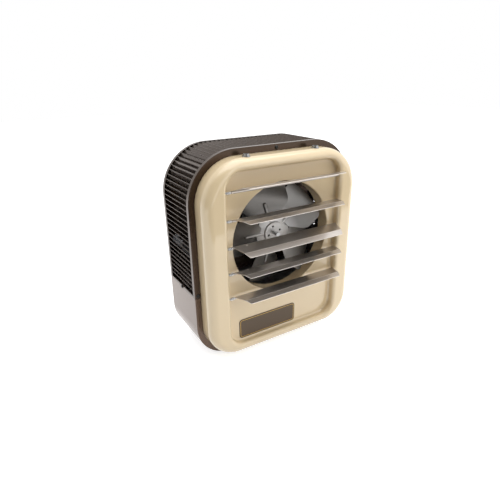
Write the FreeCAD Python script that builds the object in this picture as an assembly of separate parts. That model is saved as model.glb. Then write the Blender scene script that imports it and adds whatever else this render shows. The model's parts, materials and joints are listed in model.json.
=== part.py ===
"""Electric unit heater: slatted casing, drawn front panel with five louvers, fan and heating elements.

Millimetres. +X is right seen from the front, -Y is the front, +Z is up.
The origin is the centre of the casing's bottom face.
"""
import FreeCAD, Part
import math
import os

V = FreeCAD.Vector
X_AXIS = V(1, 0, 0)
Y_AXIS = V(0, 1, 0)
Z_AXIS = V(0, 0, 1)

# Casing
CASE_WIDTH = 362.0
CASE_HEIGHT = 406.4
CASE_DEPTH = 120.65
CASE_TOP_RADIUS = 93.5
CASE_BOTTOM_RADIUS = 73.5
CASE_SHEET = 1.0
SEAM_HEIGHT = 137.5
SEAM_TAB = 12.0
SEAM_TAB_SETBACK = 16.0
BACK_FLANGE = 10.0
BACK_SHEET = 1.2

# Slats of the wrap
SLAT_PITCH = 9.6
SLAT_WIDTH = 9.0
SLAT_THICKNESS = 0.9
SLAT_TILT = 45.0
SLAT_INSET = 0.2
SLAT_ROOT = 1.5
FRONT_RIM = 8.0
BACK_RIM = 8.0
SEAM_STRIP = 5.0

# Front panel
PANEL_MARGIN = 12.3
PANEL_SHEET = 1.2
PANEL_PROJECTION = 39.5
PANEL_EDGE_RADIUS = 17.3
PANEL_RIM = 9.0
PANEL_CLEARANCE = 0.4
RECESS_DEPTH = 16.0
RECESS_TOP_MARGIN = 20.6
RECESS_BOTTOM_MARGIN = 20.2
RECESS_CORNER_RADIUS = 32.0
RECESS_CORNER_INSET = 6.5
RECESS_EDGE_RADIUS = 7.4
PANEL_EDGE_SHARE = 0.5
RECESS_EDGE_SHARE = 0.3
RECESS_FLOOR_RADIUS = 4.0
OUTLET_RADIUS = 109.3
OUTLET_SIDE_MARGIN = 16.7
OUTLET_LIP_RADIUS = 2.0
COLLAR_LENGTH = 26.0
NAMEPLATE_WIDTH = 134.0
NAMEPLATE_HEIGHT = 42.0
NAMEPLATE_THICKNESS = 0.8
NAMEPLATE_RADIUS = 6.5
NAMEPLATE_OFFSET = 35.0
NAMEPLATE_GAP = 0.3

# Hanger nuts, for 5/16 inch rods about 6 inches apart
NUT_CORNER_MARGIN = 12.25
NUT_BORE_RADIUS = 3.3
NUT_BODY_RADIUS = 5.4
NUT_FLANGE_RADIUS = 7.5
NUT_FLANGE_THICKNESS = 1.4
NUT_LENGTH = 14.0
NUT_COLLAR_RADIUS = 5.6
NUT_COLLAR_HEIGHT = 3.0
NUT_SETBACK = 3.7

# Louvers
LOUVER_COUNT = 5
LOUVER_PITCH = 50.8
LOUVER_RISE = 4.5
LOUVER_SHEET = 0.8
LOUVER_CHORD = 28.0
LOUVER_LIP = 12.0
LOUVER_LIP_BEND = 20.0
LOUVER_END_TAPER = 8.0
LOUVER_LIP_TAPER = 6.0
LOUVER_END_GAP = 1.0
LOUVER_TILTS = (-21.0, -6.5, 8.5, -8.0, -7.0)
LOUVER_HOLE_RADIUS = 1.2
LOUVER_HOLE_SETBACK = 26.0
ROD_RADIUS = 1.5
ROD_RUNNING_CLEARANCE = 0.06
ROD_HEM_CLEARANCE = 0.02
ROD_OVERHANG = 1.6

# Louver springs
SPRING_WIRE = 0.9
SPRING_MEAN_RADIUS = 2.9
SPRING_TURNS = 4
SPRING_SPACE = 12.0
SPRING_CLEARANCE = 0.3

# Fan
FAN_DROP = 173.4
FAN_RADIUS = 106.0
BLADE_COUNT = 5
BLADE_FIRST_ANGLE = 36.0
BLADE_SHEET = 1.2
BLADE_PITCH = 23.0
BLADE_CHORD = 92.0
BLADE_SAGITTA = 4.0
BLADE_ROOT_RADIUS = 31.0
BLADE_ROOT_WIDTH = 30.0
BLADE_WIDTH = 84.0
BLADE_SHOULDER = 56.0
BLADE_SHOULDER_RADIUS = 24.0
BLADE_TIP_RADIUS = 12.0
BLADE_DEPTH = 7.0
RIB_RADIUS = 3.5
RIB_LENGTH = 31.0
DISH_FRONT = 5.0
DISH_RADIUS = 21.5
DISH_STEP = 3.0
DISH_STEP_RUN = 1.0
DISH_SKIRT_RADIUS = 38.0
DISH_SKIRT_DEPTH = 6.0
DISH_SHEET = 1.5
DISH_HOLES = 4
DISH_HOLE_CIRCLE = 27.0
DISH_HOLE_ANGLE = 15.0
DISH_HOLE_RADIUS = 2.3
HUB_RADIUS = 9.5
HUB_LENGTH = 24.0
HUB_SCREW_SETBACK = 16.8
SET_SCREW_RADIUS = 2.4
SHAFT_RADIUS = 3.97
SHAFT_OVERHANG = 13.0
SHAFT_FLAT = 0.9
SHAFT_FIT = 0.03

# Motor
MOTOR_START = 46.0
MOTOR_LENGTH = 46.0
MOTOR_RADIUS = 42.0
MOTOR_SHEET = 1.5
BELL_DEPTH = 9.0
BELL_BOSS_RADIUS = 14.0
BELL_BOSS_DEPTH = 2.0
BELL_CORNER = 6.0
BELL_CORNER_DEPTH = 5.0
BEARING_RADIUS = 9.0
BEARING_LENGTH = 7.0
ROTOR_RADIUS = 20.0
ROTOR_GAP = 0.6
ROTOR_LENGTH = 24.0
STATOR_FIT = 0.1
BRACKET_SETBACK = 12.0
BRACKET_SHEET = 1.5
BRACKET_EAR_RADIUS = 9.0
BRACKET_FIT = 0.1
POST_CIRCLE_RADIUS = 56.0
POST_RADIUS = 3.5
POST_HEAD_RADIUS = 5.5
POST_HEAD_HEIGHT = 3.2
POST_COUNT = 4

# Heating elements
ELEMENT_INSET = 22.0
ELEMENT_RADIUS = 4.0
ELEMENT_FIRST_DEPTH = 40.0
ELEMENT_SPACING = 24.0
ELEMENT_TAIL = 5.0
ELEMENT_FIT = 0.2
FIN_SIZE = 19.0
FIN_THICKNESS = 0.8
FIN_PITCH = 15.0
FIN_END_MARGIN = 14.0
ELEMENT_BRACKET_SHEET = 1.5
ELEMENT_BRACKET_WIDTH = 26.0
ELEMENT_BRACKET_FOOT = 14.0
TERMINAL_RADIUS = 2.0
TERMINAL_LENGTH = 13.0
TERMINAL_NUT_RADIUS = 4.6
TERMINAL_NUT_HEIGHT = 4.0

# Wiring shelf and controls
SHELF_GAP = 6.0
SHELF_SHEET = 1.2
SHELF_FLANGE = 12.0
SHELF_SETBACK = 5.0
CONTACTOR_SIZE = (58.0, 46.0, 30.0)
TRANSFORMER_SIZE = (50.0, 38.0, 30.0)
BLOCK_SIZE = (62.0, 24.0, 26.0)
CONTROL_SPACING = 84.0
CUTOUT_RADIUS = 8.5
CUTOUT_HEIGHT = 11.0
KNOCKOUT_RADIUS = 11.1
KNOCKOUT_SPACING = 120.0
KNOCKOUT_HEIGHT = 46.0
KNOCKOUT_GROOVE = 0.4

# Sheet metal screws
SCREW_HEAD_RADIUS = 4.0
SCREW_TOP_RADIUS = 2.4
SCREW_HEAD_HEIGHT = 2.3
SCREW_SHANK_RADIUS = 1.9
SCREW_LENGTH = 8.0
SCREW_HOLE_CLEARANCE = 0.05
FLANGE_SCREW_OFFSET = 5.8
SEAM_SCREW_OFFSET = 6.5
COVER_SCREW_RISE = 2.7

# Places worked out from the sizes above
FRONT_Y = -CASE_DEPTH / 2
BACK_Y = CASE_DEPTH / 2
CASE = (CASE_WIDTH / 2, 0.0, CASE_HEIGHT, CASE_BOTTOM_RADIUS, CASE_TOP_RADIUS)
FAN_Z = CASE_HEIGHT - FAN_DROP
FAN_CENTRE = V(0, 0, FAN_Z)
PANEL_FRONT_Y = FRONT_Y - PANEL_PROJECTION
PANEL_REAR_Y = FRONT_Y + CASE_SHEET + PANEL_SHEET
FLOOR_Y = PANEL_FRONT_Y + RECESS_DEPTH
COLLAR_REAR_Y = FLOOR_Y + COLLAR_LENGTH
COLLAR_RADIUS = OUTLET_RADIUS + PANEL_SHEET
BACK_PANEL_Y = BACK_Y - CASE_SHEET - BACK_SHEET
RECESS_HALF = OUTLET_RADIUS + OUTLET_SIDE_MARGIN
PIVOT_Y = PANEL_FRONT_Y + RECESS_DEPTH / 2
ROD_HOLE_RADIUS = ROD_RADIUS + ROD_RUNNING_CLEARANCE
HEM_BORE_RADIUS = ROD_RADIUS + ROD_HEM_CLEARANCE
HEM_RADIUS = HEM_BORE_RADIUS + LOUVER_SHEET
SPRING_REACH = SPRING_MEAN_RADIUS + SPRING_WIRE / 2
SHELF_TOP = FAN_Z - COLLAR_RADIUS - SHELF_GAP
MOTOR_Y = FRONT_Y + MOTOR_START
MOTOR_END_Y = MOTOR_Y + MOTOR_LENGTH
BRACKET_Y = MOTOR_Y + BRACKET_SETBACK
ELEMENT_DEPTHS = [FRONT_Y + ELEMENT_FIRST_DEPTH + row * ELEMENT_SPACING for row in range(3)]
SCREW_HOLE_RADIUS = SCREW_SHANK_RADIUS + SCREW_HOLE_CLEARANCE


def grown(outline, margin):
    """The same rounded outline, larger by margin on every side."""
    half, low, high, low_radius, high_radius = outline
    return (half + margin, low - margin, high + margin, low_radius + margin, high_radius + margin)


def outline_face(outline, y):
    """Upright rounded rectangle, symmetric in X, as a face at one Y."""
    half, low, high, low_radius, high_radius = outline
    bend = math.sqrt(0.5)

    def corner(side, level, radius):
        up = 1 if level == high else -1
        centre = V(side * (half - radius), y, level - up * radius)
        upright_end = centre + V(side * radius, 0, 0)
        middle = centre + V(side * radius * bend, 0, up * radius * bend)
        level_end = centre + V(0, 0, up * radius)
        return upright_end, middle, level_end

    right_low = corner(1, low, low_radius)
    right_high = corner(1, high, high_radius)
    left_high = corner(-1, high, high_radius)
    left_low = corner(-1, low, low_radius)
    edges = [
        Part.Arc(right_low[2], right_low[1], right_low[0]).toShape(),
        Part.makeLine(right_low[0], right_high[0]),
        Part.Arc(right_high[0], right_high[1], right_high[2]).toShape(),
        Part.makeLine(right_high[2], left_high[2]),
        Part.Arc(left_high[2], left_high[1], left_high[0]).toShape(),
        Part.makeLine(left_high[0], left_low[0]),
        Part.Arc(left_low[0], left_low[1], left_low[2]).toShape(),
        Part.makeLine(left_low[2], right_low[2]),
    ]
    return Part.Face(Part.Wire(edges))


def slab(outline, y_start, y_end):
    return outline_face(outline, y_start).extrude(V(0, y_end - y_start, 0))


def rounded_at(shape, y, radius, inside=None):
    """Fillets the loop of edges at one Y, only within an outline where one is given."""
    slack = 0.01

    def wanted(edge):
        box = edge.BoundBox
        at_level = abs(box.YMin - y) < slack and abs(box.YMax - y) < slack
        if inside is None or not at_level:
            return at_level
        half, low, high = inside[:3]
        return box.XMax < half + slack and box.ZMin > low - slack and box.ZMax < high + slack

    return shape.makeFillet(radius, [edge for edge in shape.Edges if wanted(edge)])


def box_between(low, high):
    size = high - low
    return Part.makeBox(size.x, size.y, size.z, low)


def turned(points):
    """Solid of revolution about the fan's axis, from (radius, y) points."""
    corners = [FAN_CENTRE + V(radius, y, 0) for radius, y in points]
    face = Part.Face(Part.makePolygon(corners + corners[:1]))
    return face.revolve(FAN_CENTRE, Y_AXIS, 360)


def rod(start, end, radius):
    return Part.makeCylinder(radius, (end - start).Length, start, end - start)


def prism(points, depth):
    """Polygon pushed along a vector."""
    return Part.Face(Part.makePolygon(points + points[:1])).extrude(depth)


def fused(shapes):
    return shapes[0].multiFuse(shapes[1:]).removeSplitter()


def screw(seat, direction):
    """Pan-head screw whose head sits on the seat, with the shank along the direction."""
    unit = V(direction).normalize()
    head = Part.makeCone(SCREW_HEAD_RADIUS, SCREW_TOP_RADIUS, SCREW_HEAD_HEIGHT, seat, -unit)
    return head.fuse(rod(seat, seat + unit * SCREW_LENGTH, SCREW_SHANK_RADIUS))


# Casing sheet
def casing_shell():
    shell = slab(CASE, FRONT_Y, BACK_Y)
    shell = shell.cut(slab(grown(CASE, -CASE_SHEET), FRONT_Y + CASE_SHEET, BACK_Y - CASE_SHEET))
    opening = grown(CASE, PANEL_CLEARANCE - PANEL_MARGIN)
    shell = shell.cut(slab(opening, FRONT_Y - 1, FRONT_Y + CASE_SHEET + 1))
    return shell.cut(slab(grown(CASE, -CASE_SHEET - BACK_FLANGE), BACK_Y - CASE_SHEET - 1, BACK_Y + 1))


def half_space(above):
    reach = 2 * CASE_WIDTH
    low = SEAM_HEIGHT if above else SEAM_HEIGHT - reach
    return Part.makeBox(2 * reach, 2 * reach, reach, V(-reach, -reach, low))


def wrap_point(along):
    """Point on the casing's outer outline and its tangent, a distance up from the left seam."""
    upright = CASE_HEIGHT - CASE_TOP_RADIUS - SEAM_HEIGHT
    quarter = CASE_TOP_RADIUS * math.pi / 2
    top = CASE_WIDTH - 2 * CASE_TOP_RADIUS
    centre_z = CASE_HEIGHT - CASE_TOP_RADIUS
    half = CASE_WIDTH / 2
    if along < upright:
        return V(-half, 0, SEAM_HEIGHT + along), Z_AXIS
    along -= upright
    for side in (-1, 1):
        if along < quarter:
            turn = along / CASE_TOP_RADIUS
            start = math.pi if side < 0 else math.pi / 2
            angle = start - turn
            outward = V(math.cos(angle), 0, math.sin(angle))
            centre = V(side * (half - CASE_TOP_RADIUS), 0, centre_z)
            return centre + outward * CASE_TOP_RADIUS, V(math.sin(angle), 0, -math.cos(angle))
        along -= quarter
        if side < 0:
            if along < top:
                return V(CASE_TOP_RADIUS - half + along, 0, CASE_HEIGHT), X_AXIS
            along -= top
    return V(half, 0, centre_z - along), -Z_AXIS


def slat(along):
    """One lanced slat: its outer edge lies at the sheet, its inner edge leans back along the wrap."""
    point, tangent = wrap_point(along)
    outward = V(-tangent.z, 0, tangent.x)
    tilt = math.radians(SLAT_TILT)
    lean = (outward * math.sin(tilt) + tangent * math.cos(tilt)) * -SLAT_WIDTH
    across = (tangent * math.sin(tilt) - outward * math.cos(tilt)) * SLAT_THICKNESS
    start = V(point.x, FRONT_Y + FRONT_RIM - SLAT_ROOT, point.z) - outward * SLAT_INSET
    length = CASE_DEPTH - FRONT_RIM - BACK_RIM + 2 * SLAT_ROOT
    return prism([start, start + lean, start + lean + across, start + across], V(0, length, 0))


def grille_wrap(shell):
    window_low = SEAM_HEIGHT + SEAM_STRIP
    window = slab(grown(CASE, 1), FRONT_Y + FRONT_RIM, BACK_Y - BACK_RIM)
    window = window.cut(slab(grown(CASE, -2 * CASE_SHEET), FRONT_Y, BACK_Y))
    below = Part.makeBox(2 * CASE_WIDTH, 2 * CASE_DEPTH, window_low + 2, V(-CASE_WIDTH, -CASE_DEPTH, -2))
    wrap = shell.common(half_space(True)).cut(window.cut(below))
    upright = CASE_HEIGHT - CASE_TOP_RADIUS - SEAM_HEIGHT
    length = 2 * upright + math.pi * CASE_TOP_RADIUS + CASE_WIDTH - 2 * CASE_TOP_RADIUS
    room = length - 2 * SEAM_STRIP - SLAT_WIDTH
    count = int(room // SLAT_PITCH)
    first = SEAM_STRIP + SLAT_WIDTH + (room - (count - 1) * SLAT_PITCH) / 2 - SLAT_PITCH / 2
    slats = [slat(first + index * SLAT_PITCH) for index in range(count)]
    return fused([wrap] + slats)


def lower_cover(shell):
    """Plain sheet below the seam, with a tab at each side that stands up behind the wrap's strip."""
    tabs = []
    for side in (-1, 1):
        inner = side * (CASE_WIDTH / 2 - CASE_SHEET)
        low_x = min(inner, inner - side * CASE_SHEET)
        low = V(low_x, FRONT_Y + SEAM_TAB_SETBACK, SEAM_HEIGHT - SEAM_TAB)
        high = V(low_x + CASE_SHEET, BACK_Y - SEAM_TAB_SETBACK, SEAM_HEIGHT + SEAM_STRIP)
        tabs.append(box_between(low, high))
    return fused([shell.common(half_space(False))] + tabs)


def back_panel():
    plate = slab(grown(CASE, -CASE_SHEET - PANEL_CLEARANCE), BACK_PANEL_Y, BACK_PANEL_Y + BACK_SHEET)
    for side in (-1, 1):
        centre = V(side * KNOCKOUT_SPACING / 2, BACK_PANEL_Y + BACK_SHEET, KNOCKOUT_HEIGHT)
        ring = rod(centre - Y_AXIS * KNOCKOUT_GROOVE, centre + Y_AXIS, KNOCKOUT_RADIUS)
        ring = ring.cut(rod(centre - Y_AXIS, centre + Y_AXIS, KNOCKOUT_RADIUS - 2 * KNOCKOUT_GROOVE))
        plate = plate.cut(ring)
    return plate


# Front panel
PANEL = grown(CASE, -PANEL_MARGIN)
PANEL_RING = PANEL[0] - RECESS_HALF
PANEL_EDGE = min(PANEL_EDGE_RADIUS, PANEL_EDGE_SHARE * PANEL_RING)
RECESS_EDGE = min(RECESS_EDGE_RADIUS, RECESS_EDGE_SHARE * PANEL_RING)
RECESS = (
    RECESS_HALF,
    PANEL[1] + RECESS_BOTTOM_MARGIN,
    PANEL[2] - RECESS_TOP_MARGIN,
    RECESS_CORNER_RADIUS,
    max(RECESS_CORNER_RADIUS, PANEL[4] - PANEL_RING - RECESS_CORNER_INSET),
)
NUT_Y = PANEL_FRONT_Y + PANEL_EDGE + NUT_SETBACK
NUT_X = PANEL[0] - PANEL[4] - NUT_CORNER_MARGIN
NUT_PLACES = [V(side * NUT_X, NUT_Y, PANEL[2]) for side in (-1, 1)]
PIVOT_HEIGHTS = [
    FAN_Z + LOUVER_RISE + ((LOUVER_COUNT - 1) / 2 - row) * LOUVER_PITCH for row in range(LOUVER_COUNT)
]


def recess_half_at(height):
    """Half the recess's width where a louver's spring and ends sit, less where the corner rounds in."""
    half, _, high, _, radius = RECESS
    rise = max(0.0, height + SPRING_REACH - (high - radius))
    return half - radius + math.sqrt(radius * radius - rise * rise)


def panel_skin(inward):
    """The pan's front surface as a solid, moved inward by a sheet thickness for its hollow."""
    front = PANEL_FRONT_Y + inward
    skin = slab(grown(PANEL, -inward), PANEL_REAR_Y, front)
    skin = rounded_at(skin, front, PANEL_EDGE - inward)
    recess = grown(RECESS, inward)
    pocket = slab(recess, front - 1, FLOOR_Y + inward)
    pocket = rounded_at(pocket, FLOOR_Y + inward, RECESS_FLOOR_RADIUS + inward)
    return rounded_at(skin.cut(pocket), front, RECESS_EDGE - inward, recess)


def front_panel():
    rim = slab(grown(PANEL, PANEL_RIM), PANEL_REAR_Y - PANEL_SHEET, PANEL_REAR_Y)
    panel = panel_skin(0).fuse(rim).cut(panel_skin(PANEL_SHEET))
    collar_start = FAN_CENTRE + V(0, FLOOR_Y + PANEL_SHEET / 2, 0)
    panel = panel.fuse(rod(collar_start, FAN_CENTRE + V(0, COLLAR_REAR_Y, 0), COLLAR_RADIUS))
    outlet = rod(FAN_CENTRE + V(0, FLOOR_Y - 1, 0), FAN_CENTRE + V(0, COLLAR_REAR_Y + 1, 0), OUTLET_RADIUS)
    panel = panel.cut(outlet).removeSplitter()
    floor = (OUTLET_RADIUS, FAN_Z - OUTLET_RADIUS, FAN_Z + OUTLET_RADIUS)
    panel = rounded_at(panel, FLOOR_Y, OUTLET_LIP_RADIUS, floor)
    reach = RECESS_HALF + PANEL_SHEET + 1
    for height in PIVOT_HEIGHTS:
        pivot = V(0, PIVOT_Y, height)
        panel = panel.cut(rod(pivot - X_AXIS * reach, pivot + X_AXIS * reach, ROD_HOLE_RADIUS))
    for place in NUT_PLACES:
        panel = panel.cut(rod(place - Z_AXIS * (PANEL_SHEET + 1), place + Z_AXIS, NUT_BODY_RADIUS))
    for place in FLANGE_SCREW_PLACES:
        panel = panel.cut(rod(place, place + Y_AXIS * SCREW_LENGTH, SCREW_HOLE_RADIUS))
    return panel


def nameplate():
    half = NAMEPLATE_WIDTH / 2
    low = RECESS[1] + RECESS_FLOOR_RADIUS + NAMEPLATE_GAP
    outline = (half, low, low + NAMEPLATE_HEIGHT, NAMEPLATE_RADIUS, NAMEPLATE_RADIUS)
    plate = slab(outline, FLOOR_Y - NAMEPLATE_THICKNESS, FLOOR_Y)
    return plate.translated(V(-NAMEPLATE_OFFSET, 0, 0))


def hanger_nut(place):
    flange = rod(place, place + Z_AXIS * NUT_FLANGE_THICKNESS, NUT_FLANGE_RADIUS)
    body = rod(place - Z_AXIS * (NUT_LENGTH - NUT_FLANGE_THICKNESS), place, NUT_BODY_RADIUS)
    collar_top = place + Z_AXIS * (NUT_FLANGE_THICKNESS + NUT_COLLAR_HEIGHT)
    collar = rod(place, collar_top, NUT_COLLAR_RADIUS)
    bore = rod(place - Z_AXIS * NUT_LENGTH, collar_top + Z_AXIS, NUT_BORE_RADIUS)
    return fused([flange, body, collar]).cut(bore)


# Louvers
def louver_blade(height, tilt):
    """Creased sheet: a rolled rear hem on the rod, a flat panel, and a lip bent further down."""
    left_end = SPRING_SPACE - recess_half_at(height)
    right_end = recess_half_at(height) - LOUVER_END_GAP
    bend = math.radians(LOUVER_LIP_BEND)
    lip_reach = V(0, -math.cos(bend), -math.sin(bend)) * LOUVER_LIP
    lip_normal = V(0, math.sin(bend), -math.cos(bend)) * LOUVER_SHEET
    top = V(left_end, 0, HEM_RADIUS)
    under = V(0, 0, -LOUVER_SHEET)
    crease = top - Y_AXIS * LOUVER_CHORD
    crease_under = crease + under + V(0, LOUVER_SHEET * math.tan(bend / 2), 0)
    tip = crease + lip_reach
    along = X_AXIS * (right_end - left_end)
    sheet = prism([top, crease, tip, tip + lip_normal, crease_under, top + under], along)
    left = V(left_end, 0, 0)
    hem = rod(left, left + along, HEM_RADIUS)
    bore = rod(left - X_AXIS, left + along + X_AXIS, HEM_BORE_RADIUS)
    plan_low = V(0, 0, -LOUVER_CHORD)
    front = LOUVER_CHORD + LOUVER_LIP * math.cos(bend)
    taper = LOUVER_END_TAPER
    lip_taper = LOUVER_END_TAPER + LOUVER_LIP_TAPER
    plan = [
        (left_end, 2 * HEM_RADIUS),
        (left_end, -HEM_RADIUS),
        (left_end + taper, -LOUVER_CHORD),
        (left_end + lip_taper, -front - 1),
        (right_end - lip_taper, -front - 1),
        (right_end - taper, -LOUVER_CHORD),
        (right_end, -HEM_RADIUS),
        (right_end, 2 * HEM_RADIUS),
    ]
    trim = prism([plan_low + V(x, y, 0) for x, y in plan], V(0, 0, 2 * LOUVER_CHORD))
    blade = fused([sheet, hem]).cut(bore).common(trim)
    for x in (left_end + LOUVER_HOLE_SETBACK, right_end - LOUVER_HOLE_SETBACK):
        hole_base = V(x, -HEM_RADIUS - 2 * LOUVER_HOLE_RADIUS, 0)
        blade = blade.cut(rod(hole_base, hole_base + Z_AXIS * 2 * HEM_RADIUS, LOUVER_HOLE_RADIUS))
    blade.rotate(V(0, 0, 0), X_AXIS, tilt)
    return blade.translated(V(0, PIVOT_Y, height))


def louver_rod(height):
    reach = recess_half_at(height) + PANEL_SHEET + ROD_OVERHANG
    pivot = V(0, PIVOT_Y, height)
    return rod(pivot - X_AXIS * reach, pivot + X_AXIS * reach, ROD_RADIUS)


def tangent_arc(start, tangent, end):
    """Arc from start, leaving along the tangent, to end, with its radius."""
    chord = end - start
    toward = V(chord).normalize()
    cosine = max(-1.0, min(1.0, tangent.dot(toward)))
    side = V(tangent - toward * cosine).normalize()
    angle = math.acos(cosine)
    middle = (start + end) * 0.5 + side * (chord.Length / 2 * math.tan(angle / 2))
    return Part.Arc(start, middle, end).toShape(), chord.Length / (2 * math.sin(angle))


def biarc(start, start_tangent, end, end_tangent):
    """Two arcs that join two points along two given tangents."""
    gap = end - start
    both = start_tangent + end_tangent
    lack = 2 * (1 - start_tangent.dot(end_tangent))
    along = gap.dot(both)
    reach = (math.sqrt(along * along + lack * gap.dot(gap)) - along) / lack
    joint = (start + start_tangent * reach + end - end_tangent * reach) * 0.5
    first, first_radius = tangent_arc(start, start_tangent, joint)
    second, second_radius = tangent_arc(end, -end_tangent, joint)
    return [first, second], min(first_radius, second_radius)


def spring_path():
    """Coil along +X from the origin: straight ends, a bend into the turns, quarter-turn biarcs."""
    length = SPRING_SPACE - SPRING_CLEARANCE
    lead = 2.5 * SPRING_WIRE
    rise = (length - 2 * lead) / SPRING_TURNS
    radius = SPRING_MEAN_RADIUS
    slope = rise / (2 * math.pi)

    def helix(turn):
        angle = 2 * math.pi * turn
        point = V(lead + rise * turn, radius * math.cos(angle), radius * math.sin(angle))
        tangent = V(slope, -radius * math.sin(angle), radius * math.cos(angle)).normalize()
        return point, tangent

    end_turn = 0.13
    start = V(0, *[radius * f(-2 * math.pi * end_turn) for f in (math.cos, math.sin)])
    finish_angle = 2 * math.pi * (SPRING_TURNS + end_turn)
    finish = V(length, radius * math.cos(finish_angle), radius * math.sin(finish_angle))
    run = X_AXIS * SPRING_WIRE
    stations = [(start + run, X_AXIS)]
    stations += [helix(quarter / 4) for quarter in range(4 * SPRING_TURNS + 1)]
    stations += [(finish - run, X_AXIS)]
    edges = [Part.makeLine(start, start + run)]
    radii = []
    for (point, tangent), (next_point, next_tangent) in zip(stations, stations[1:]):
        arcs, least = biarc(point, tangent, next_point, next_tangent)
        if next_point is stations[-1][0]:
            arcs.reverse()
        edges += arcs
        radii.append(least)
    edges.append(Part.makeLine(finish - run, finish))
    wire = Part.Wire(Part.__sortEdges__(edges))
    return wire, start, min(radii)


def least_self_gap(wire):
    """Least distance between stretches of the wire that are over half a turn apart."""
    points = wire.discretize(Number=400)
    spacing = wire.Length / (len(points) - 1)
    skip = int(math.pi * SPRING_MEAN_RADIUS / spacing)
    gaps = []
    for index, point in enumerate(points):
        gaps += [point.distanceToPoint(other) for other in points[index + skip:]]
    return min(gaps) - SPRING_WIRE


def louver_springs():
    wire, start, least_radius = spring_path()
    print("spring: least self gap %.2f, least bend radius %.2f" % (least_self_gap(wire), least_radius))
    circle = Part.Wire(Part.makeCircle(SPRING_WIRE / 2, start, X_AXIS))
    coil = wire.makePipeShell([circle], True, False)
    return [coil.translated(V(-recess_half_at(height), PIVOT_Y, height)) for height in PIVOT_HEIGHTS]


# Fan
def fan_blade():
    """Cambered sheet along +X, trimmed to a paddle with rounded corners."""
    pitch = math.radians(BLADE_PITCH)
    chord = V(0, math.sin(pitch), math.cos(pitch)) * (BLADE_CHORD / 2)
    rearward = V(0, math.cos(pitch), -math.sin(pitch))
    middle = V(BLADE_ROOT_RADIUS, FRONT_Y + BLADE_DEPTH, 0)
    thick = rearward * BLADE_SHEET
    camber = rearward * BLADE_SAGITTA
    front = Part.Arc(middle - chord, middle + camber, middle + chord).toShape()
    rear = Part.Arc(middle + chord + thick, middle + camber + thick, middle - chord + thick).toShape()
    ends = [
        Part.makeLine(middle + chord, middle + chord + thick),
        Part.makeLine(middle - chord + thick, middle - chord),
    ]
    band = Part.Face(Part.Wire([front, ends[0], rear, ends[1]])).extrude(X_AXIS * FAN_RADIUS)
    base = V(0, FRONT_Y - BLADE_CHORD, 0)
    plan = [
        (BLADE_ROOT_RADIUS, -BLADE_ROOT_WIDTH / 2),
        (BLADE_SHOULDER, -BLADE_WIDTH / 2),
        (FAN_RADIUS, -BLADE_WIDTH / 2),
        (FAN_RADIUS, BLADE_WIDTH / 2),
        (BLADE_SHOULDER, BLADE_WIDTH / 2),
        (BLADE_ROOT_RADIUS, BLADE_ROOT_WIDTH / 2),
    ]
    paddle = prism([base + V(x, 0, z) for x, z in plan], V(0, 2 * BLADE_CHORD, 0))
    tip = Part.makeCylinder(FAN_RADIUS, 2 * BLADE_CHORD, base, Y_AXIS)
    paddle = paddle.common(tip)
    corners = [edge for edge in paddle.Edges if edge.BoundBox.YLength > BLADE_CHORD]
    shoulders = [edge for edge in corners if abs(edge.BoundBox.XMin - BLADE_SHOULDER) < 1]
    tips = [edge for edge in corners if edge.BoundBox.XMin > BLADE_SHOULDER + 1]
    paddle = paddle.makeFillet(BLADE_SHOULDER_RADIUS, shoulders)
    tips = [edge for edge in paddle.Edges if any(edge.BoundBox.isInside(tip.CenterOfMass) for tip in tips)]
    return band.common(paddle.makeFillet(BLADE_TIP_RADIUS, tips))


def blade_rib():
    """Embossed rib that runs from the dish out along the blade's root."""
    level = FRONT_Y + BLADE_DEPTH + BLADE_SAGITTA
    root = V(DISH_RADIUS, level, 0)
    outer = V(BLADE_ROOT_RADIUS + RIB_LENGTH, level, 0)
    rib = rod(root, outer, RIB_RADIUS)
    return rib.fuse(Part.makeSphere(RIB_RADIUS, outer))


def fan_wheel():
    bore = SHAFT_RADIUS + SHAFT_FIT
    front = FRONT_Y + DISH_FRONT
    skirt = front + DISH_SKIRT_DEPTH
    step = front + DISH_STEP
    step_radius = DISH_RADIUS + DISH_STEP_RUN
    dish = turned([
        (bore, front),
        (DISH_RADIUS, front),
        (step_radius, step),
        (DISH_SKIRT_RADIUS, skirt),
        (DISH_SKIRT_RADIUS, skirt + DISH_SHEET),
        (step_radius - DISH_SHEET, step + DISH_SHEET),
        (DISH_RADIUS - DISH_SHEET, front + DISH_SHEET),
        (bore, front + DISH_SHEET),
    ])
    for hole in range(DISH_HOLES):
        angle = math.radians(DISH_HOLE_ANGLE + 360 * hole / DISH_HOLES)
        reach = V(math.cos(angle), 0, math.sin(angle)) * (DISH_HOLE_CIRCLE / 2)
        place = FAN_CENTRE + reach + V(0, front - 1, 0)
        dish = dish.cut(rod(place, place + Y_AXIS * (DISH_SHEET + 2), DISH_HOLE_RADIUS))
    inside = turned([
        (0, front - BLADE_CHORD),
        (0, skirt + BLADE_CHORD),
        (DISH_SKIRT_RADIUS - DISH_SHEET, skirt + BLADE_CHORD),
        (DISH_SKIRT_RADIUS - DISH_SHEET, skirt + DISH_SHEET / 2),
        (step_radius - DISH_SHEET / 2, step + DISH_SHEET / 2),
        (DISH_RADIUS - DISH_SHEET / 2, front + DISH_SHEET / 2),
        (DISH_RADIUS - DISH_SHEET / 2, front - BLADE_CHORD),
    ])
    arm = fan_blade().fuse(blade_rib()).translated(FAN_CENTRE).cut(inside)
    arms = []
    for blade in range(BLADE_COUNT):
        angle = BLADE_FIRST_ANGLE + 360 * blade / BLADE_COUNT
        copy = arm.copy()
        copy.rotate(FAN_CENTRE, -Y_AXIS, angle)
        arms.append(copy)
    return fused([dish] + arms)


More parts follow.
